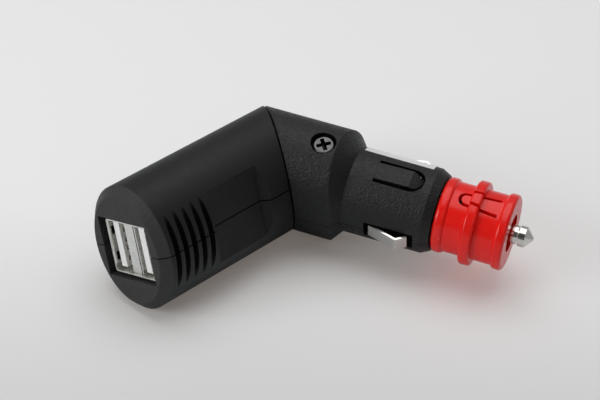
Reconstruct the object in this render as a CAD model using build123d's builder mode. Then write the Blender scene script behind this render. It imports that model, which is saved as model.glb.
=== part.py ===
from build123d import *
import os
from math import cos, radians, sin, sqrt, tan

# Twin USB charger for a car: a mitred oval head turns on a lighter plug with a pull-off adapter sleeve.
# +X runs along the plug towards its tip, +Z is up from the table that it lies on, and the origin is on
# the plug's axis at the end of its shoulder. Driving dimensions are in millimetres and degrees.

# Bend: two oval bodies meet on one round joint face, so they line up however the head is turned
joint_d = 30.4
mitre_angle = 35.3
swivel_angle = -32.2
rest_tilt = 19.1
seam_gap = 0.2
head_parting_gap = 0.3
plug_parting_gap = 0.15
seam_round = 0.35
wall = 2.0
neck_d = 13.0
lead_bore_d = 8.0
flange_d = 17.0
flange_t = 1.6
turn_gap = 0.15

# Head, measured along its axis from the centre of the joint face
head_len = 49.5
end_bevel = 2.0
end_round = 0.5
window_high = 14.6
window_gap = 0.15
panel_start = 15.0
panel_end = 33.2
panel_slope = 1.4
grip_count = 5
grip_first = 34.6
grip_pitch = 2.67
grip_w = 1.5
grip_depth = 2.3

# USB receptacles, side by side across the head in one shell
port_pitch = 8.5
port_offset = 0.6
port_clear = 0.35
port_recess = 0.95
shell_wide = 13.1
shell_high = 5.7
shell_deep = 14.0
shell_t = 0.3
shell_round = 0.6
divider_recess = 0.65
divider_slit = 0.3
divider_gap = 0.05
spring_window_w = 2.0
spring_window_len = 5.0
spring_window_x = 3.2
spring_window_setback = 0.8
tongue_wide = 11.1
tongue_t = 1.84
tongue_gap = 0.88
tongue_recess = 1.05
base_deep = 3.0
contact_w = 1.0
contact_t = 0.3
contact_inner = 1.0
contact_outer = 3.5
contact_setback = 0.6
contact_tail = 1.0
tail_notch = 1.5

# Boards and their parts
board_t = 1.2
usb_board_high = 16.0
converter_len = 18.6
board_gap = 0.2
board_clear = 0.8
hole_gap = 0.1
ledge_w = 1.2
ledge_t = 2.0
choke_d = 8.8
choke_high = 7.0
choke_edge = 0.4
choke_setback = 12.1
capacitor_d = 6.3
capacitor_round = 0.5
capacitor_setback = 11.1
capacitor_pitch = 7.2
chip_setback = 4.1
chip_len = 4.0
chip_wide = 5.0
chip_t = 1.5

# Plug, measured along its axis from the centre of the joint face
shoulder_slope = 0.8
shoulder_round = 0.5
shoulder_end = 19.3
barrel_d = 20.6
collar_len = 5.4
barrel_draft = 0.05
barrel_end = 38.6
taper_end = 40.7
taper_d = 18.4
barrel_wall = 2.0
cavity_end = 38.3
nose_d = 12.0
nose_end = 56.3
nose_wall = 1.6
screw_x = 12.0
counterbore_d = 6.1
screw_head_d = 5.2
screw_head_t = 1.9
screw_sink = 0.9
screw_round = 0.6
screw_d = 2.6
screw_len = 18.0
boss_d = 7.0
cross_w = 1.0
cross_len = 3.5
cross_depth = 1.2
cross_taper_angle = 15.0
cross_turn_angle = 35.0

# Moulded spring tongue in the barrel
flexure_root = 25.0
flexure_end = 36.8
flexure_half = 3.2
flexure_slot = 0.9
flexure_bevel_len = 2.4
flexure_bevel = 1.0
flexure_lift = 0.2
flexure_t = 1.4

# Blank label
label_start = 20.2
label_len = 17.0
label_t = 0.1
label_gap = 0.02
label_edge_angle = 58.5
label_span_angle = 38.0

# Side springs and the strip that joins them
slot_start = 25.2
slot_end = 37.2
slot_w = 5.0
leaf_w = 4.0
leaf_t = 0.5
leaf_root_x = 25.8
leaf_root_y = 8.4
leaf_knee_x = 26.3
leaf_knee_y = 9.8
leaf_bend_x = 33.5
leaf_bend_y = 11.75
leaf_end_x = 35.7
leaf_end_y = 10.3
bridge_x = 21.9
bridge_t = 0.5
bridge_gap = 0.3

# Centre pin and its spring
pin_d = 4.6
pin_groove_d = 3.0
pin_head_d = 5.0
pin_collar_end = 59.7
pin_head_start = 60.1
pin_cone_start = 61.6
pin_tip = 63.4
pin_tip_d = 0.7
pin_flange_d = 6.0
pin_flange_t = 1.2
pin_gap = 0.15
chamber_start = 42.3
chamber_d = 6.6
terminal_t = 0.6
terminal_bore_d = 2.4
spring_wire = 0.4
spring_d = 5.0
spring_turns = 7

# Adapter sleeve
sleeve_start = 41.0
sleeve_end = 58.1
sleeve_gap = 0.15
sleeve_hole_d = 9.0
waist_d = 16.9
rear_ring_d = 18.0
front_ring_d = 18.2
ring_w = 2.6
ring_round = 0.8
rib_x = 49.3
rib_d = 20.2
rib_w = 2.6
rib_round = 0.6
latch_end = 45.0
latch_root = 54.8
latch_tip_half = 1.9
latch_root_half = 2.6
latch_slot = 0.8

os.makedirs("parts", exist_ok=True)

# Oval section of both bodies: full height along the split normal, narrowed across by the mitre
mitre = radians(mitre_angle)
oval_high = joint_d / 2
oval_across = oval_high * cos(mitre)
bend_reach = oval_across * tan(mitre) + 2 * wall

# Frames: x along each body away from the bend, y towards the bend's apex, z along the split normal
tilt = radians(rest_tilt)
plug = Plane((-shoulder_end, 0, 0), x_dir=(1, 0, 0), z_dir=(0, -sin(tilt), cos(tilt)))
swivel_dir = plug.x_dir * cos(mitre) + plug.y_dir * sin(mitre)
plug_apex = plug.y_dir * cos(mitre) - plug.x_dir * sin(mitre)
head_apex = plug_apex.rotate(Axis(plug.origin, swivel_dir), swivel_angle)
head = Plane(
    plug.origin,
    x_dir=-swivel_dir * cos(mitre) - head_apex * sin(mitre),
    z_dir=head_apex.cross(swivel_dir),
)
plug_axis = Axis(plug.origin, plug.x_dir)
head_axis = Axis(head.origin, head.x_dir)
swivel_axis = Axis(plug.origin, swivel_dir)
swivel_profile = Plane(plug.origin, x_dir=swivel_dir, z_dir=plug.z_dir)


def section(frame, x):
    """Plane square to a body's axis: sketch x runs towards the apex, sketch y along the split normal."""
    return Plane(frame.origin + frame.x_dir * x, x_dir=frame.y_dir, z_dir=frame.x_dir)


def joint_plane(offset):
    """Plane parallel to the joint face, offset towards the plug."""
    return Plane(plug.origin + swivel_dir * offset, x_dir=plug_apex, z_dir=swivel_dir)


# Depths along the swivel axis
plug_face = seam_gap / 2
head_face = -seam_gap / 2
flange_start = plug_face + wall + turn_gap
flange_end = flange_start + flange_t

# Head cavity: as wide as the receptacles need, with the side panels' flat floors a wall away from it
stack_high = port_pitch + shell_high
window_half = port_offset + stack_high / 2 + window_gap
cavity_half = port_offset + stack_high / 2 + port_clear
panel_floor = cavity_half + wall
with BuildPart() as head_cavity:
    with BuildSketch(section(head, head_len - wall)):
        Ellipse(oval_across - wall, oval_high - wall)
        Rectangle(2 * cavity_half, joint_d, mode=Mode.INTERSECT)
    extrude(amount=-(head_len + bend_reach))
    split(bisect_by=joint_plane(head_face - wall), keep=Keep.BOTTOM)

# Head body, both halves in one
port_front = head_len - port_recess
usb_board_front = port_front - shell_deep
usb_board_back = usb_board_front - board_t
converter_start = usb_board_back - converter_len
board_half = cavity_half - board_gap
with BuildPart() as head_body:
    with BuildSketch(section(head, head_len)):
        Ellipse(oval_across, oval_high)
    extrude(amount=-(head_len + bend_reach))
    chamfer(head_body.faces().sort_by(head_axis)[-1].edges(), end_bevel)
    fillet(head_body.edges().group_by(head_axis)[-2:], end_round)
    split(bisect_by=joint_plane(head_face), keep=Keep.BOTTOM)
    fillet(head_body.faces().sort_by(swivel_axis)[-1].edges(), seam_round)
    add(head_cavity.part, mode=Mode.SUBTRACT)
    with BuildSketch(section(head, head_len)):
        Rectangle(2 * window_half, window_high)
    extrude(amount=-2 * wall, mode=Mode.SUBTRACT)
    # Flat side panels with sloped end walls
    with BuildSketch(head):
        with BuildLine():
            Polyline(
                (panel_start, oval_across),
                (panel_start + panel_slope, panel_floor),
                (panel_end - panel_slope, panel_floor),
                (panel_end, oval_across),
                close=True,
            )
        make_face()
        mirror(about=Plane.XZ)
    extrude(amount=oval_high, both=True, mode=Mode.SUBTRACT)
    # Grip grooves, straight cuts that leave lens shapes on the round sides
    with BuildSketch(head):
        for side in (1, -1):
            for i in range(grip_count):
                with Locations((grip_first + i * grip_pitch, side * oval_across)):
                    Ellipse(grip_w / 2, grip_depth)
    extrude(amount=oval_high, both=True, mode=Mode.SUBTRACT)
    # Ledges that carry the converter board and stop the receptacle board
    with BuildSketch(head):
        for side in (1, -1):
            with Locations((usb_board_back, side * cavity_half)):
                Rectangle(usb_board_back - converter_start, 2 * ledge_w, align=(Align.MAX, Align.CENTER))
    extrude(amount=board_t / 2 + ledge_t, both=True)
    with BuildSketch(head):
        with Locations((usb_board_back, 0)):
            Rectangle(usb_board_back - converter_start, 2 * board_half, align=(Align.MAX, Align.CENTER))
    extrude(amount=board_t / 2, both=True, mode=Mode.SUBTRACT)
    # Neck and flange that turn in the plug's bulkhead, bored for the leads
    with BuildSketch(swivel_profile):
        with BuildLine():
            Polyline(
                (head_face - wall / 2, lead_bore_d / 2),
                (head_face - wall / 2, neck_d / 2),
                (flange_start, neck_d / 2),
                (flange_start, flange_d / 2),
                (flange_end, flange_d / 2),
                (flange_end, lead_bore_d / 2),
                close=True,
            )
        make_face()
    revolve(axis=swivel_axis)
    with BuildSketch(joint_plane(head_face - 2 * wall)):
        Circle(lead_bore_d / 2)
    extrude(amount=flange_end - head_face + 2 * wall, mode=Mode.SUBTRACT)

with BuildPart() as head_upper_shell:
    add(head_body.part)
    split(bisect_by=head.offset(-head_parting_gap / 2), keep=Keep.BOTTOM)
head_upper_shell.part.label = "head_upper_shell"
export_step(head_upper_shell.part, "parts/head_upper_shell.step")

with BuildPart() as head_lower_shell:
    add(head_body.part)
    split(bisect_by=head.offset(head_parting_gap / 2), keep=Keep.TOP)
head_lower_shell.part.label = "head_lower_shell"
export_step(head_lower_shell.part, "parts/head_lower_shell.step")

# USB receptacles: one shell around both mouths
mouth_high = shell_high - 2 * shell_t
mouth_wide = shell_wide - 2 * shell_t
stack_mouth = stack_high - 2 * shell_t
with BuildPart() as usb_shell:
    with BuildSketch(section(head, usb_board_front)):
        with Locations((-port_offset, 0)):
            RectangleRounded(stack_high, shell_wide, shell_round)
            RectangleRounded(stack_mouth, mouth_wide, shell_round - shell_t, mode=Mode.SUBTRACT)
    extrude(amount=shell_deep)
    # Openings around the grip springs in both broad walls
    with BuildSketch(section(head, port_front - spring_window_setback)):
        with Locations((-port_offset, spring_window_x), (-port_offset, -spring_window_x)):
            Rectangle(2 * stack_high, spring_window_w)
        with Locations((-port_offset, 0)):
            Rectangle(stack_mouth, shell_wide, mode=Mode.SUBTRACT)
    extrude(amount=-spring_window_len, mode=Mode.SUBTRACT)
usb_shell.part.label = "usb_shell"
export_step(usb_shell.part, "parts/usb_shell.step")

# Divider between the mouths: a strip folded into a flat box, slit along one front edge
divider_front = port_front - divider_recess
divider_deep = divider_front - usb_board_front
divider_high = port_pitch - mouth_high
with BuildPart() as usb_divider:
    with BuildSketch(head):
        with Locations((divider_front, -port_offset)):
            Rectangle(divider_deep, divider_high, align=(Align.MAX, Align.CENTER))
        with Locations((divider_front - shell_t, -port_offset)):
            Rectangle(divider_deep - 2 * shell_t, divider_high - 2 * shell_t,
                      align=(Align.MAX, Align.CENTER), mode=Mode.SUBTRACT)
        with Locations((divider_front, shell_t - divider_high / 2 - port_offset)):
            Rectangle(2 * shell_t, divider_slit, align=(Align.CENTER, Align.MIN), mode=Mode.SUBTRACT)
    extrude(amount=mouth_wide / 2 - divider_gap, both=True)
usb_divider.part.label = "usb_divider"
export_step(usb_divider.part, "parts/usb_divider.step")

# White insulator and four contacts in each mouth
tongue_shift = mouth_high / 2 - tongue_gap - tongue_t / 2
contact_shift = tongue_shift - tongue_t / 2
contact_front = port_front - tongue_recess - contact_setback
contact_back = usb_board_back - contact_tail
contact_rows = (-contact_outer, -contact_inner, contact_inner, contact_outer)
ports = (port_pitch / 2 - port_offset, -port_pitch / 2 - port_offset)
for number, port in ((1, ports[0]), (2, ports[1])):

    with BuildPart() as usb_contacts:
        with BuildSketch(section(head, contact_back)):
            with Locations(*[(port + contact_shift, row) for row in contact_rows]):
                Rectangle(contact_t, contact_w, align=(Align.MAX, Align.CENTER))
        extrude(amount=contact_front - contact_back)
    usb_contacts.part.label = f"usb_contacts_{number}"
    export_step(usb_contacts.part, f"parts/usb_contacts_{number}.step")

    with BuildPart() as usb_tongue:
        with BuildSketch(section(head, usb_board_front)):
            with Locations((port, 0)):
                RectangleRounded(mouth_high, mouth_wide, shell_round - shell_t)
        extrude(amount=base_deep)
        with BuildSketch(section(head, usb_board_front)):
            with Locations((port + tongue_shift, 0)):
                Rectangle(tongue_t, tongue_wide)
        extrude(amount=shell_deep - tongue_recess)
        add(usb_contacts.part, mode=Mode.SUBTRACT)
    usb_tongue.part.label = f"usb_tongue_{number}"
    export_step(usb_tongue.part, f"parts/usb_tongue_{number}.step")

with BuildPart() as usb_board:
    with BuildSketch(section(head, usb_board_back)):
        Rectangle(2 * board_half, usb_board_high)
        Ellipse(oval_across - wall - board_gap, oval_high - wall - board_gap, mode=Mode.INTERSECT)
        for port in ports:
            with Locations(*[(port + contact_shift - contact_t / 2, row) for row in contact_rows]):
                Rectangle(contact_t + 2 * hole_gap, contact_w + 2 * hole_gap, mode=Mode.SUBTRACT)
    extrude(amount=board_t)
usb_board.part.label = "usb_board"
export_step(usb_board.part, "parts/usb_board.step")

# Converter board in the split plane, with the tall parts on one side of it and the choke on the other
with BuildPart() as converter_board:
    with BuildSketch(head):
        with Locations((usb_board_back, 0)):
            Rectangle(usb_board_back - converter_start, 2 * board_half, align=(Align.MAX, Align.CENTER))
        # Notch for the receptacle contacts' tails
        for port in ports:
            with Locations((usb_board_back, port + contact_shift - contact_t / 2)):
                Rectangle(2 * tail_notch, 2 * contact_w, mode=Mode.SUBTRACT)
    extrude(amount=board_t / 2, both=True)
converter_board.part.label = "converter_board"
export_step(converter_board.part, "parts/converter_board.step")

with BuildPart() as choke:
    with BuildSketch(head.offset(-board_t / 2)):
        with Locations((usb_board_back - choke_setback, 0)):
            Circle(choke_d / 2)
    extrude(amount=-choke_high)
    chamfer(choke.edges().filter_by(GeomType.CIRCLE), choke_edge)
choke.part.label = "choke"
export_step(choke.part, "parts/choke.step")

# The capacitors reach up to a clearance under the round of the cavity
capacitor_reach = (capacitor_pitch + capacitor_d) / 2 / (oval_across - wall)
capacitor_high = (oval_high - wall) * sqrt(1 - capacitor_reach**2) - board_t / 2 - board_clear
for name, side in (("input_capacitor", 1), ("output_capacitor", -1)):
    with BuildPart() as capacitor:
        with BuildSketch(head.offset(board_t / 2)):
            with Locations((usb_board_back - capacitor_setback, side * capacitor_pitch / 2)):
                Circle(capacitor_d / 2)
        extrude(amount=capacitor_high)
        fillet(capacitor.faces().sort_by(Axis(head.origin, head.z_dir))[-1].edges(), capacitor_round)
    capacitor.part.label = name
    export_step(capacitor.part, f"parts/{name}.step")

with BuildPart() as regulator_chip:
    with BuildSketch(head.offset(-board_t / 2)):
        with Locations((usb_board_back - chip_setback, 0)):
            Rectangle(chip_len, chip_wide)
    extrude(amount=-chip_t)
regulator_chip.part.label = "regulator_chip"
export_step(regulator_chip.part, "parts/regulator_chip.step")

# Plug cavity: oval behind the shoulder, round in the barrel, then the pin's chamber in the nose
barrel_r = barrel_d / 2
cavity_r = barrel_r - barrel_wall
shoulder_start = shoulder_end - shoulder_slope * (oval_high - barrel_r)
with BuildPart() as plug_cavity:
    with BuildSketch(section(plug, shoulder_start - wall / 2)):
        Ellipse(oval_across - wall, oval_high - wall)
    extrude(amount=-(shoulder_start + bend_reach))
    split(bisect_by=joint_plane(plug_face + wall), keep=Keep.TOP)
    with BuildSketch(plug):
        with BuildLine():
            Polyline(
                (shoulder_start - wall, 0),
                (shoulder_start - wall, cavity_r),
                (cavity_end, cavity_r),
                (cavity_end, terminal_bore_d / 2),
                (chamber_start, terminal_bore_d / 2),
                (chamber_start, chamber_d / 2),
                (nose_end - nose_wall, chamber_d / 2),
                (nose_end - nose_wall, pin_d / 2 + pin_gap),
                (nose_end + nose_wall, pin_d / 2 + pin_gap),
                (nose_end + nose_wall, 0),
                close=True,
            )
        make_face()
    revolve(axis=plug_axis)

# Plug body, both halves in one
with BuildPart() as plug_body:
    with BuildSketch(section(plug, -bend_reach)):
        Ellipse(oval_across, oval_high)
    extrude(amount=shoulder_end + bend_reach)
    # Shoulder: a cone that cuts the oval back to the barrel
    with BuildSketch(plug):
        with BuildLine():
            Polyline(
                (shoulder_end, 0),
                (shoulder_end, barrel_r),
                (shoulder_end - shoulder_slope * (joint_d - barrel_r), joint_d),
                (-2 * bend_reach, joint_d),
                (-2 * bend_reach, 0),
                close=True,
            )
        make_face()
    revolve(axis=plug_axis, mode=Mode.INTERSECT)
    shoulder_edge = plug_body.faces().filter_by(GeomType.CONE).edges().sort_by(plug_axis)[0:1]
    fillet(shoulder_edge, shoulder_round)
    with BuildSketch(plug):
        with BuildLine():
            Polyline(
                (shoulder_end, 0),
                (shoulder_end, barrel_r),
                (shoulder_end + collar_len, barrel_r),
                (barrel_end, barrel_r - barrel_draft),
                (taper_end, taper_d / 2),
                (taper_end, nose_d / 2),
                (nose_end, nose_d / 2),
                (nose_end, 0),
                close=True,
            )
        make_face()
    revolve(axis=plug_axis)
    split(bisect_by=joint_plane(plug_face), keep=Keep.TOP)
    fillet(plug_body.faces().sort_by(swivel_axis)[0].edges(), seam_round)
    add(plug_cavity.part, mode=Mode.SUBTRACT)
    # Bore that the head's neck turns in
    with BuildSketch(joint_plane(0)):
        Circle(neck_d / 2 + turn_gap)
    extrude(amount=flange_start, mode=Mode.SUBTRACT)
    # Slots for the side springs
    with BuildSketch(plug):
        with Locations(((slot_start + slot_end) / 2, barrel_r), ((slot_start + slot_end) / 2, -barrel_r)):
            Rectangle(slot_end - slot_start, 4 * barrel_wall)
    extrude(amount=slot_w / 2, both=True, mode=Mode.SUBTRACT)

# Spring tongue of the upper half: it rises a little towards its bevelled round tip
with BuildPart() as flexure:
    flexure_tip = flexure_end - flexure_slot
    flexure_inner = flexure_half - flexure_slot
    with BuildSketch(plug):
        with BuildLine():
            Polyline(
                (flexure_root - wall, barrel_r - flexure_t),
                (flexure_root - wall, barrel_r - barrel_draft),
                (flexure_root, barrel_r - barrel_draft),
                (flexure_tip - flexure_bevel_len, barrel_r + flexure_lift),
                (flexure_tip, barrel_r - flexure_bevel),
                (flexure_tip, barrel_r - flexure_t),
                close=True,
            )
        make_face()
    revolve(axis=plug_axis)
    with BuildSketch(plug):
        with Locations((flexure_root - wall, 0)):
            Rectangle(flexure_tip - flexure_inner - flexure_root + wall, 2 * flexure_inner,
                      align=(Align.MIN, Align.CENTER))
        with Locations((flexure_tip - flexure_inner, 0)):
            Circle(flexure_inner)
    extrude(amount=oval_high, mode=Mode.INTERSECT)

# Screw stack along the split normal
screw_top = oval_high - screw_sink
screw_seat = screw_top - screw_head_t
screw_tip = screw_seat - screw_len
with BuildPart() as plug_upper_shell:
    add(plug_body.part)
    with BuildSketch(plug):
        with Locations((screw_x, 0)):
            Circle(boss_d / 2)
    extrude(amount=oval_high - wall / 2)
    with BuildSketch(plug.offset(screw_seat)):
        with Locations((screw_x, 0)):
            Circle(counterbore_d / 2)
    extrude(amount=oval_high, mode=Mode.SUBTRACT)
    with BuildSketch(plug):
        with Locations((screw_x, 0)):
            Circle(screw_d / 2 + hole_gap)
    extrude(amount=oval_high, mode=Mode.SUBTRACT)
    # Opening around the spring tongue, then the tongue itself
    with BuildSketch(plug.offset(cavity_r - barrel_wall)):
        with Locations((flexure_root, 0)):
            Rectangle(flexure_end - flexure_half - flexure_root, 2 * flexure_half,
                      align=(Align.MIN, Align.CENTER))
        with Locations((flexure_end - flexure_half, 0)):
            Circle(flexure_half)
    extrude(amount=oval_high, mode=Mode.SUBTRACT)
    add(flexure.part)
    split(bisect_by=plug.offset(plug_parting_gap / 2), keep=Keep.TOP)
plug_upper_shell.part.label = "plug_upper_shell"
export_step(plug_upper_shell.part, "parts/plug_upper_shell.step")

with BuildPart() as plug_lower_shell:
    add(plug_body.part)
    with BuildSketch(plug):
        with Locations((screw_x, 0)):
            Circle(boss_d / 2)
    extrude(amount=-(oval_high - wall / 2))
    with BuildSketch(plug):
        with Locations((screw_x, 0)):
            Circle(screw_d / 2)
    extrude(amount=screw_tip - hole_gap, mode=Mode.SUBTRACT)
    split(bisect_by=plug.offset(-plug_parting_gap / 2), keep=Keep.BOTTOM)
plug_lower_shell.part.label = "plug_lower_shell"
export_step(plug_lower_shell.part, "parts/plug_lower_shell.step")

with BuildPart() as housing_screw:
    with BuildSketch(plug.offset(screw_tip)):
        with Locations((screw_x, 0)):
            Circle(screw_d / 2)
    extrude(amount=screw_len)
    with BuildSketch(plug.offset(screw_seat)):
        with Locations((screw_x, 0)):
            Circle(screw_head_d / 2)
    extrude(amount=screw_head_t)
    fillet(housing_screw.faces().sort_by(Axis(plug.origin, plug.z_dir))[-1].edges(), screw_round)
    with BuildSketch(plug.offset(screw_top)):
        with Locations((screw_x, 0)):
            Rectangle(cross_len, cross_w, rotation=cross_turn_angle)
            Rectangle(cross_w, cross_len, rotation=cross_turn_angle)
    extrude(amount=-cross_depth, taper=cross_taper_angle, mode=Mode.SUBTRACT)
housing_screw.part.label = "housing_screw"
export_step(housing_screw.part, "parts/housing_screw.step")

# Label, an arc of the barrel between the spring tongue and the far side spring
with BuildPart() as blank_label:
    label_r = barrel_r + label_gap
    label_end = label_start + label_len
    with BuildSketch(plug) as label_strip:
        with BuildLine():
            Polyline(
                (label_start, label_r),
                (label_start, label_r + label_t),
                (label_end, label_r + label_t - barrel_draft),
                (label_end, label_r - barrel_draft),
                close=True,
            )
        make_face()
    revolve(label_strip.sketch.rotate(plug_axis, label_edge_angle - label_span_angle), axis=plug_axis,
            revolution_arc=label_span_angle)
blank_label.part.label = "blank_label"
export_step(blank_label.part, "parts/blank_label.step")

# Side springs: a short root inside the slot, a long ramp to the bend and a short return
for name, side in (("ground_contact_left", 1), ("ground_contact_right", -1)):
    with BuildPart() as ground_contact:
        with BuildSketch(plug.offset(-leaf_w / 2)):
            with BuildLine() as leaf_line:
                FilletPolyline(
                    (leaf_root_x, side * leaf_root_y),
                    (leaf_knee_x, side * leaf_knee_y),
                    (leaf_bend_x, side * leaf_bend_y),
                    (leaf_end_x, side * leaf_end_y),
                    radius=leaf_t,
                )
                offset(amount=leaf_t / 2, side=Side.BOTH)
            make_face()
        extrude(amount=leaf_w)
    ground_contact.part.label = name
    export_step(ground_contact.part, f"parts/{name}.step")

with BuildPart() as ground_bridge:
    bridge_leg = leaf_root_x - leaf_t / 2 - bridge_gap - bridge_x
    bridge_half = cavity_r - bridge_gap
    with BuildSketch(plug.offset(-leaf_w / 2)):
        with Locations((bridge_x, 0)):
            Rectangle(bridge_leg, 2 * bridge_half, align=(Align.MIN, Align.CENTER))
        with Locations((bridge_x + bridge_t, 0)):
            Rectangle(bridge_leg, 2 * (bridge_half - bridge_t), align=(Align.MIN, Align.CENTER),
                      mode=Mode.SUBTRACT)
    extrude(amount=leaf_w)
    fillet(ground_bridge.edges().filter_by(Axis(plug.origin, plug.z_dir)).group_by(plug_axis)[0], bridge_t)
ground_bridge.part.label = "ground_bridge"
export_step(ground_bridge.part, "parts/ground_bridge.step")

# Centre pin: flange inside the nose, collar, groove, head and cone
flange_front = nose_end - nose_wall - pin_gap
flange_back = flange_front - pin_flange_t
with BuildPart() as contact_pin:
    with BuildSketch(plug):
        with BuildLine():
            Polyline(
                (flange_back, 0),
                (flange_back, pin_flange_d / 2),
                (flange_front, pin_flange_d / 2),
                (flange_front, pin_d / 2),
                (pin_collar_end, pin_d / 2),
                (pin_collar_end, pin_groove_d / 2),
                (pin_head_start, pin_groove_d / 2),
                (pin_head_start, pin_head_d / 2),
                (pin_cone_start, pin_head_d / 2),
                (pin_tip, pin_tip_d / 2),
                (pin_tip, 0),
                close=True,
            )
        make_face()
    revolve(axis=plug_axis)
contact_pin.part.label = "contact_pin"
export_step(contact_pin.part, "parts/contact_pin.step")

with BuildPart() as pin_terminal:
    with BuildSketch(section(plug, chamber_start)):
        Circle(chamber_d / 2 - pin_gap)
    extrude(amount=terminal_t)
pin_terminal.part.label = "pin_terminal"
export_step(pin_terminal.part, "parts/pin_terminal.step")

spring_start = chamber_start + terminal_t + spring_wire
spring_run = flange_back - spring_wire - spring_start
with BuildPart() as pin_spring:
    with BuildLine(section(plug, spring_start)) as coil:
        Helix(
            pitch=spring_run / spring_turns, height=spring_run, radius=spring_d / 2, direction=plug.x_dir
        )
    with BuildSketch(Plane(coil.line @ 0, z_dir=coil.line % 0)):
        Circle(spring_wire / 2)
    sweep()
pin_spring.part.label = "pin_spring"
export_step(pin_spring.part, "parts/pin_spring.step")

# Adapter sleeve: two end rings and a rib, with a latch tongue that carries its own piece of the rib
bore_r = nose_d / 2 + sleeve_gap
with BuildPart() as sleeve_body:
    with BuildSketch(plug):
        for start, width, d, edge in (
            (sleeve_start, ring_w, rear_ring_d, ring_round),
            (rib_x - rib_w / 2, rib_w, rib_d, rib_round),
            (sleeve_end - ring_w, ring_w, front_ring_d, ring_round),
        ):
            with Locations((start, 0)):
                RectangleRounded(width, d, edge, align=(Align.MIN, Align.CENTER))
        with Locations((sleeve_start, 0)):
            Rectangle(sleeve_end - sleeve_start, waist_d, align=(Align.MIN, Align.CENTER))
        with Locations((sleeve_start, 0)):
            Rectangle(nose_end + sleeve_gap - sleeve_start, 2 * bore_r, align=(Align.MIN, Align.CENTER),
                      mode=Mode.SUBTRACT)
        with Locations((sleeve_end, 0)):
            Rectangle(2 * (sleeve_end - nose_end), sleeve_hole_d, mode=Mode.SUBTRACT)
        with Locations((sleeve_start, 0)):
            Rectangle(sleeve_end - sleeve_start, rib_d, align=(Align.MIN, Align.MAX), mode=Mode.SUBTRACT)
    revolve(axis=plug_axis)
    # Slot around the latch tongue: its rounded free end points back towards the barrel
    with BuildSketch(plug.offset(bore_r / 2)):
        for inset, mode in ((0, Mode.ADD), (latch_slot, Mode.SUBTRACT)):
            tip_r = latch_tip_half - inset
            with BuildLine():
                Polyline(
                    (latch_end + latch_tip_half, tip_r),
                    (latch_root, latch_root_half - inset),
                    (latch_root, inset - latch_root_half),
                    (latch_end + latch_tip_half, -tip_r),
                    close=True,
                )
            make_face(mode=mode)
            with Locations((latch_end + latch_tip_half, 0)):
                Circle(tip_r, mode=mode)
    extrude(amount=rib_d, mode=Mode.SUBTRACT)

# The moulding is split where its bore ends, so that the end ring around the pin stays open
sleeve_split = section(plug, nose_end + sleeve_gap)
with BuildPart() as sleeve_end_ring:
    add(sleeve_body.part)
    split(bisect_by=sleeve_split, keep=Keep.TOP)
sleeve_end_ring.part.label = "sleeve_end_ring"
export_step(sleeve_end_ring.part, "parts/sleeve_end_ring.step")

with BuildPart() as adapter_sleeve:
    add(sleeve_body.part)
    split(bisect_by=sleeve_split, keep=Keep.BOTTOM)
adapter_sleeve.part.label = "adapter_sleeve"
export_step(adapter_sleeve.part, "parts/adapter_sleeve.step")
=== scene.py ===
import bpy
from mathutils import Matrix, Vector


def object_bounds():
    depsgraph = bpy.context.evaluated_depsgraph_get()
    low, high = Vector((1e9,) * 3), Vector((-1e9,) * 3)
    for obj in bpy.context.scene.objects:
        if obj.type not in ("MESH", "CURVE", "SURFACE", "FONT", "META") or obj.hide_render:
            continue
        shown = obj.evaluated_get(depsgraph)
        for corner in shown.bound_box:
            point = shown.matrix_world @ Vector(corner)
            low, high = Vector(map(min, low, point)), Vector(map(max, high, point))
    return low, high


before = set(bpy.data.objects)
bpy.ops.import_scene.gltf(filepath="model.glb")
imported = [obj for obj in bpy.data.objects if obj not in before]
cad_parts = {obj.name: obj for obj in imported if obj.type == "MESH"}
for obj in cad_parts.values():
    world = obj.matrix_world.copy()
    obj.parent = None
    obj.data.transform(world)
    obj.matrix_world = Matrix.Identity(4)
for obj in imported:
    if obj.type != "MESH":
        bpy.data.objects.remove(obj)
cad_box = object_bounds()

MM = 0.001

# Camera, fitted to the photograph: metres in the row frame
CAMERA_AT = Vector((0.100218, -0.376214, 0.283586))
CAMERA_RIGHT = Vector((0.935318, 0.344377, 0.081145))
CAMERA_UP = Vector((-0.267510, 0.538229, 0.799217))
CAMERA_BACK = Vector((0.231557, -0.769229, 0.595539))
LENS_MM = 122.097
SENSOR_MM = 36.0
CLIP_NEAR, CLIP_FAR = 0.05, 30.0

# Head axis, for the rougher ring moulded round its end face
HEAD_ORIGIN = Vector((-0.0193, 0.0, 0.0))
HEAD_DIR = Vector((-0.383520, -0.923513, 0.006071))
HEAD_LEN = 0.0495
END_RING = 0.0021
END_BLEND = 0.00021

# Screw axis and heights along it, for the painted shade in its cross slot
SCREW_DIR = Vector((0.0, -0.327218, 0.944949))
SCREW_DARK = 0.0133
SCREW_BRIGHT = 0.0140

# Light: an even surround with a dim patch around the camera, and softboxes aimed at the part, in watts.
# The patch starts at the cosine DIM_EDGE from the camera's direction and is full at DIM_CORE.
SURROUND = 0.36
SURROUND_DIM = 0.05
DIM_EDGE, DIM_CORE = 0.3, 0.95
PART_CENTRE = (-0.01, -0.01, 0.0)
TOP_AT, TOP_SIZE, TOP_WATTS = (-0.10, 0.12, 0.85), (0.9, 0.9), 3.9
FILL_AT, FILL_SIZE, FILL_WATTS = (-0.55, -0.60, 0.35), (0.5, 0.4), 3.0
FRONT_AT, FRONT_SIZE, FRONT_WATTS = (0.35, -0.85, 0.75), (0.6, 0.5), 0.6
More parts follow.
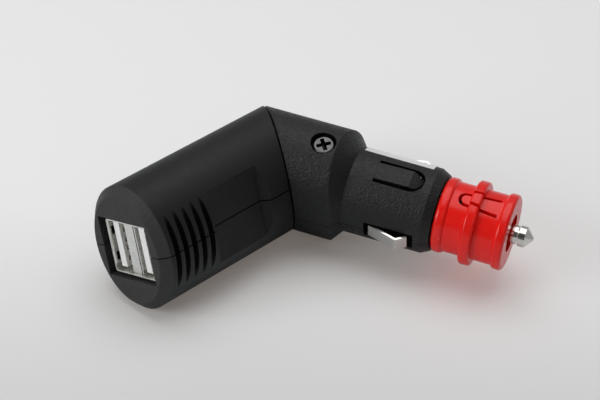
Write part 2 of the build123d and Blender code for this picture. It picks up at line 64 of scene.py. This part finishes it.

# Floor: a card with painted shade that darkens it towards the camera, and a glow for the camera alone,
# painted light that lifts its shadows
FLOOR_Z = cad_box[0][2]
FLOOR_HALF = 6.0
CARD_GLOW = (0.112, 0.094, 0.082)
CARD_AWAY = Vector((-CAMERA_RIGHT.y, CAMERA_RIGHT.x, 0.0)).normalized()
CARD_NEAR, CARD_FAR = -0.06, 0.005
CARD_DARK, CARD_PALE = (0.635, 0.66, 0.675), (0.84, 0.865, 0.88)
CARD_ROUGH = 0.8

# Range that most values of a noise texture lie in
MOST = 0.3, 0.7


class Look:
    """A Principled material with helpers for procedural detail in the part's own metres."""

    def __init__(self, name, metallic=0.0, specular=0.5):
        self.mat = bpy.data.materials.new(name)
        self.mat.use_nodes = True
        self.nodes = self.mat.node_tree.nodes
        self.links = self.mat.node_tree.links
        self.bsdf = self.nodes["Principled BSDF"]
        self.bsdf.inputs["Metallic"].default_value = metallic
        self.bsdf.inputs["Specular IOR Level"].default_value = specular
        self.coords = self.nodes.new("ShaderNodeTexCoord").outputs["Object"]
        self.normal = None

    def feed(self, socket, value):
        """Give an input a number, or link it to another node's output."""
        if isinstance(value, (int, float)):
            socket.default_value = value
        else:
            self.links.new(value, socket)

    def noise(self, size_mm, detail=2.0, rough=0.5, stretch=None):
        """Noise whose features are about size_mm across."""
        tex = self.nodes.new("ShaderNodeTexNoise")
        tex.inputs["Scale"].default_value = 1.0 / (size_mm * MM)
        tex.inputs["Detail"].default_value = detail
        tex.inputs["Roughness"].default_value = rough
        source = self.coords
        if stretch:
            mapping = self.nodes.new("ShaderNodeMapping")
            mapping.inputs["Scale"].default_value = stretch
            self.links.new(source, mapping.inputs["Vector"])
            source = mapping.outputs["Vector"]
        self.links.new(source, tex.inputs["Vector"])
        return tex.outputs["Fac"]

    def cells(self, size_mm):
        """Distance within cells that are about size_mm across."""
        tex = self.nodes.new("ShaderNodeTexVoronoi")
        tex.inputs["Scale"].default_value = 1.0 / (size_mm * MM)
        self.links.new(self.coords, tex.inputs["Vector"])
        return tex.outputs["Distance"]

    def span(self, value, low, high, to_low, to_high):
        """Value stretched from low..high to to_low..to_high, clamped."""
        node = self.nodes.new("ShaderNodeMapRange")
        node.inputs["From Min"].default_value = low
        node.inputs["From Max"].default_value = high
        node.inputs["To Min"].default_value = to_low
        node.inputs["To Max"].default_value = to_high
        self.links.new(value, node.inputs["Value"])
        return node.outputs["Result"]

    def math(self, operation, a, b):
        """Result of a math operation on two values."""
        node = self.nodes.new("ShaderNodeMath")
        node.operation = operation
        self.feed(node.inputs[0], a)
        self.feed(node.inputs[1], b)
        return node.outputs["Value"]

    def along(self, origin, direction):
        """Distance in metres along a direction from an origin."""
        node = self.nodes.new("ShaderNodeVectorMath")
        node.operation = "SUBTRACT"
        self.links.new(self.coords, node.inputs[0])
        node.inputs[1].default_value = origin
        dot = self.nodes.new("ShaderNodeVectorMath")
        dot.operation = "DOT_PRODUCT"
        self.links.new(node.outputs["Vector"], dot.inputs[0])
        dot.inputs[1].default_value = direction
        return dot.outputs["Value"]

    def tint(self, value, low, high, dark, light):
        """Base colour between two colours as value goes from low to high."""
        ramp = self.nodes.new("ShaderNodeValToRGB")
        ramp.color_ramp.elements[0].position = low
        ramp.color_ramp.elements[1].position = high
        ramp.color_ramp.elements[0].color = (*dark, 1)
        ramp.color_ramp.elements[1].color = (*light, 1)
        self.links.new(value, ramp.inputs["Fac"])
        self.links.new(ramp.outputs["Color"], self.bsdf.inputs["Base Color"])

    def roughness(self, value):
        """Roughness as a number, or as a value that varies."""
        self.feed(self.bsdf.inputs["Roughness"], value)

    def bump(self, height, depth_mm, strength=1.0):
        """Relief of about depth_mm, over any laid before."""
        node = self.nodes.new("ShaderNodeBump")
        node.inputs["Distance"].default_value = depth_mm * MM
        self.feed(node.inputs["Strength"], strength)
        self.links.new(height, node.inputs["Height"])
        if self.normal:
            self.links.new(self.normal, node.inputs["Normal"])
        self.normal = node.outputs["Normal"]
        self.links.new(self.normal, self.bsdf.inputs["Normal"])

    def put(self, *names):
        """Dress the named pieces."""
        for name in names:
            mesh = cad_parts[name].data
            mesh.materials.clear()
            mesh.materials.append(self.mat)


# Head: satin black moulding, with a coarser spark grain round the end
look = Look("head_satin_black", specular=0.36)
ring_start = HEAD_LEN - END_RING
end_ring = look.span(look.along(HEAD_ORIGIN, HEAD_DIR), ring_start - END_BLEND, ring_start, 0.0, 1.0)
mottle = look.span(look.noise(9.0, detail=4.0, rough=0.6), 0.35, 0.7, -0.06, 0.06)
look.tint(look.math("ADD", end_ring, mottle), 0.0, 1.0, (0.0040, 0.0040, 0.0042), (0.030, 0.029, 0.0295))
sheen = look.span(look.noise(2.5, detail=5.0, rough=0.65), *MOST, 0.44, 0.54)
look.roughness(look.math("ADD", sheen, look.math("MULTIPLY", end_ring, 0.08)))
fine_grain = look.span(end_ring, 0.0, 1.0, 0.5, 1.0)
look.bump(look.noise(0.30, detail=3.0, rough=0.6), depth_mm=0.012, strength=fine_grain)
look.bump(look.noise(0.55, detail=2.0, rough=0.6), depth_mm=0.20, strength=end_ring)
look.put("head_upper_shell", "head_lower_shell")

# Plug: the same plastic from a spark-eroded mould
look = Look("plug_grained_black", specular=0.42)
look.tint(look.noise(6.0, detail=4.0, rough=0.6), 0.35, 0.7,
          (0.0030, 0.0030, 0.0031), (0.0055, 0.0055, 0.0056))
look.roughness(look.span(look.noise(0.7, detail=4.0, rough=0.7), 0.35, 0.65, 0.36, 0.58))
look.bump(look.noise(0.55, detail=2.0, rough=0.6), depth_mm=0.22, strength=1.0)
look.put("plug_upper_shell", "plug_lower_shell")

# Adapter sleeve: red moulding with a faint flow pattern
look = Look("sleeve_red", specular=0.42)
look.tint(look.noise(5.0, detail=4.0, rough=0.6), 0.3, 0.75, (0.84, 0.007, 0.0035), (0.92, 0.010, 0.005))
look.roughness(look.span(look.noise(1.2, detail=4.0, rough=0.6), *MOST, 0.18, 0.28))
look.bump(look.noise(0.35, detail=2.0, rough=0.5), depth_mm=0.010, strength=0.6)
look.put("adapter_sleeve", "sleeve_end_ring")

# Pin, side springs and their strips: nickel plate
look = Look("nickel_plate", metallic=1.0)
look.tint(look.noise(3.0, detail=4.0, rough=0.6), *MOST, (0.66, 0.64, 0.60), (0.80, 0.78, 0.74))
brushed = look.noise(0.6, detail=4.0, rough=0.6, stretch=(1.0, 6.0, 6.0))
look.roughness(look.span(brushed, *MOST, 0.05, 0.14))
look.bump(look.noise(0.5, detail=3.0, rough=0.5, stretch=(1.0, 8.0, 8.0)), depth_mm=0.004, strength=0.6)
look.put("contact_pin", "ground_contact_left", "ground_contact_right", "ground_bridge", "pin_terminal")

# Screw: dark passivated steel
look = Look("screw_steel", metallic=1.0)
# Painted shade: the steel turns near black below SCREW_DARK, down in the cross slot
slot_painted_shade = look.span(look.along((0, 0, 0), SCREW_DIR), SCREW_DARK, SCREW_BRIGHT, 0.0, 1.0)
mottle = look.span(look.noise(0.8, detail=4.0, rough=0.6), *MOST, 0.6, 1.0)
look.tint(look.math("MULTIPLY", slot_painted_shade, mottle), 0.0, 1.0, (0.008, 0.008, 0.008), (0.15, 0.15, 0.148))
look.roughness(look.span(look.noise(0.5, detail=4.0, rough=0.6), *MOST, 0.22, 0.42))
look.bump(look.noise(0.3, detail=3.0, rough=0.5), depth_mm=0.008, strength=0.6)
look.put("housing_screw")

# Pin spring: bright drawn wire
look = Look("spring_wire", metallic=1.0)
look.tint(look.noise(0.7, detail=3.0, rough=0.6), *MOST, (0.45, 0.45, 0.45), (0.62, 0.62, 0.61))
look.roughness(look.span(look.noise(0.4, detail=3.0, rough=0.6), *MOST, 0.2, 0.35))
look.put("pin_spring")

# Receptacle shell and divider: tin plate
look = Look("tinned_shell", metallic=1.0)
look.tint(look.noise(1.5, detail=4.0, rough=0.6), *MOST, (0.74, 0.73, 0.70), (0.86, 0.85, 0.82))
brushed = look.noise(0.5, detail=4.0, rough=0.6, stretch=(1.0, 1.0, 5.0))
look.roughness(look.span(brushed, *MOST, 0.22, 0.38))
look.bump(look.noise(0.4, detail=3.0, rough=0.5), depth_mm=0.004, strength=0.5)
look.put("usb_shell", "usb_divider")

# Receptacle insulators: white moulding
look = Look("white_insulator")
look.tint(look.noise(2.0, detail=3.0, rough=0.6), *MOST, (0.90, 0.90, 0.88), (0.94, 0.94, 0.92))
look.roughness(look.span(look.noise(0.8, detail=3.0, rough=0.6), *MOST, 0.30, 0.42))
look.bump(look.noise(0.3, detail=2.0, rough=0.5), depth_mm=0.006, strength=0.5)
look.put("usb_tongue_1", "usb_tongue_2")

# Receptacle contacts: a thin pale gold flash
look = Look("gold_flash", metallic=1.0)
look.tint(look.noise(0.6, detail=3.0, rough=0.6), *MOST, (0.83, 0.77, 0.65), (0.89, 0.84, 0.74))
look.roughness(look.span(look.noise(0.4, detail=3.0, rough=0.6), *MOST, 0.16, 0.30))
look.put("usb_contacts_1", "usb_contacts_2")

# Label: blank white film, faintly uneven
look = Look("label_film")
look.tint(look.noise(1.8, detail=4.0, rough=0.6), *MOST, (0.83, 0.83, 0.83), (0.88, 0.88, 0.88))
look.roughness(look.span(look.noise(0.6, detail=3.0, rough=0.6), *MOST, 0.34, 0.46))
look.bump(look.noise(0.35, detail=3.0, rough=0.6), depth_mm=0.008, strength=0.5)
look.put("blank_label")

# Boards: green solder mask over the weave
look = Look("board_green")
look.tint(look.noise(1.0, detail=3.0, rough=0.6), 0.35, 0.7, (0.015, 0.12, 0.055), (0.025, 0.17, 0.08))
look.roughness(look.span(look.noise(0.6, detail=3.0, rough=0.6), *MOST, 0.28, 0.42))
look.bump(look.cells(0.5), depth_mm=0.010, strength=0.4)
look.put("usb_board", "converter_board")

# Choke: sintered ferrite
look = Look("ferrite_grey")
look.tint(look.noise(0.5, detail=4.0, rough=0.6), *MOST, (0.035, 0.035, 0.035), (0.07, 0.07, 0.068))
look.roughness(look.span(look.noise(0.4, detail=3.0, rough=0.6), *MOST, 0.48, 0.62))
look.bump(look.noise(0.2, detail=3.0, rough=0.6), depth_mm=0.02, strength=0.6)
look.put("choke")

# Capacitors: drawn cans
look = Look("capacitor_can", metallic=1.0)
look.tint(look.noise(1.5, detail=3.0, rough=0.6), *MOST, (0.62, 0.62, 0.64), (0.76, 0.76, 0.78))
brushed = look.noise(0.4, detail=3.0, rough=0.6, stretch=(1.0, 1.0, 6.0))
look.roughness(look.span(brushed, *MOST, 0.2, 0.36))
look.put("input_capacitor", "output_capacitor")

# Regulator: moulded epoxy
look = Look("chip_epoxy")
look.tint(look.noise(0.5, detail=3.0, rough=0.6), *MOST, (0.022, 0.022, 0.022), (0.04, 0.04, 0.04))
look.roughness(look.span(look.noise(0.3, detail=3.0, rough=0.6), *MOST, 0.44, 0.58))
look.bump(look.noise(0.15, detail=2.0, rough=0.5), depth_mm=0.01, strength=0.5)
look.put("regulator_chip")

# Floor sheet, much larger than the view
mesh = bpy.data.meshes.new("studio_floor")
corners = [(FLOOR_HALF * x, FLOOR_HALF * y, FLOOR_Z) for x, y in ((-1, -1), (1, -1), (1, 1), (-1, 1))]
mesh.from_pydata(corners, [], [(0, 1, 2, 3)])
floor = bpy.data.objects.new("studio_floor", mesh)
bpy.context.collection.objects.link(floor)
look = Look("studio_card", specular=0.2)
# Painted shade: the card's colour darkens towards the camera
painted_falloff = look.span(look.along((0, 0, 0), CARD_AWAY), CARD_NEAR, CARD_FAR, 0.0, 1.0)
mottle = look.span(look.noise(60.0, detail=2.0, rough=0.5), 0.2, 0.8, -0.03, 0.03)
look.tint(look.math("ADD", painted_falloff, mottle), 0.0, 1.0, CARD_DARK, CARD_PALE)
look.roughness(CARD_ROUGH)
look.bump(look.noise(0.6, detail=3.0, rough=0.6), depth_mm=0.02, strength=0.3)
# Painted light: a faint warm glow for the camera alone, which lifts the floor's shadows
look.bsdf.inputs["Emission Color"].default_value = (*CARD_GLOW, 1)
light_path = look.nodes.new("ShaderNodeLightPath")
look.links.new(light_path.outputs["Is Camera Ray"], look.bsdf.inputs["Emission Strength"])
mesh.materials.append(look.mat)

# World: a plain surround with a dim patch on the camera's side
world = bpy.data.worlds.new("studio")
world.use_nodes = True
nodes, links = world.node_tree.nodes, world.node_tree.links
toward = nodes.new("ShaderNodeVectorMath")
toward.operation = "DOT_PRODUCT"
toward.inputs[1].default_value = CAMERA_BACK
links.new(nodes.new("ShaderNodeTexCoord").outputs["Generated"], toward.inputs[0])
grade = nodes.new("ShaderNodeMapRange")
grade.inputs["From Min"].default_value = DIM_EDGE
grade.inputs["From Max"].default_value = DIM_CORE
grade.inputs["To Min"].default_value = SURROUND
grade.inputs["To Max"].default_value = SURROUND_DIM
links.new(toward.outputs["Value"], grade.inputs["Value"])
links.new(grade.outputs["Result"], nodes["Background"].inputs["Strength"])
nodes["Background"].inputs["Color"].default_value = (1.0, 1.0, 1.0, 1)
bpy.context.scene.world = world


def softbox(name, at, size, watts):
    """A rectangular area lamp that faces the part."""
    data = bpy.data.lights.new(name, "AREA")
    data.shape = "RECTANGLE"
    data.size, data.size_y = size
    data.energy = watts
    lamp = bpy.data.objects.new(name, data)
    lamp.location = at
    lamp.rotation_euler = (Vector(PART_CENTRE) - Vector(at)).to_track_quat("-Z", "Y").to_euler()
    bpy.context.collection.objects.link(lamp)


softbox("top_softbox", TOP_AT, TOP_SIZE, TOP_WATTS)
softbox("fill_softbox", FILL_AT, FILL_SIZE, FILL_WATTS)
softbox("front_softbox", FRONT_AT, FRONT_SIZE, FRONT_WATTS)

# Camera
data = bpy.data.cameras.new("photo_camera")
data.sensor_width = SENSOR_MM
data.lens = LENS_MM
data.clip_start = CLIP_NEAR
data.clip_end = CLIP_FAR
camera = bpy.data.objects.new("photo_camera", data)
turn = Matrix((CAMERA_RIGHT, CAMERA_UP, CAMERA_BACK)).transposed()
camera.matrix_world = Matrix.Translation(CAMERA_AT) @ turn.to_4x4()
bpy.context.collection.objects.link(camera)
bpy.context.scene.camera = camera
bpy.context.scene.view_settings.view_transform = "Standard"
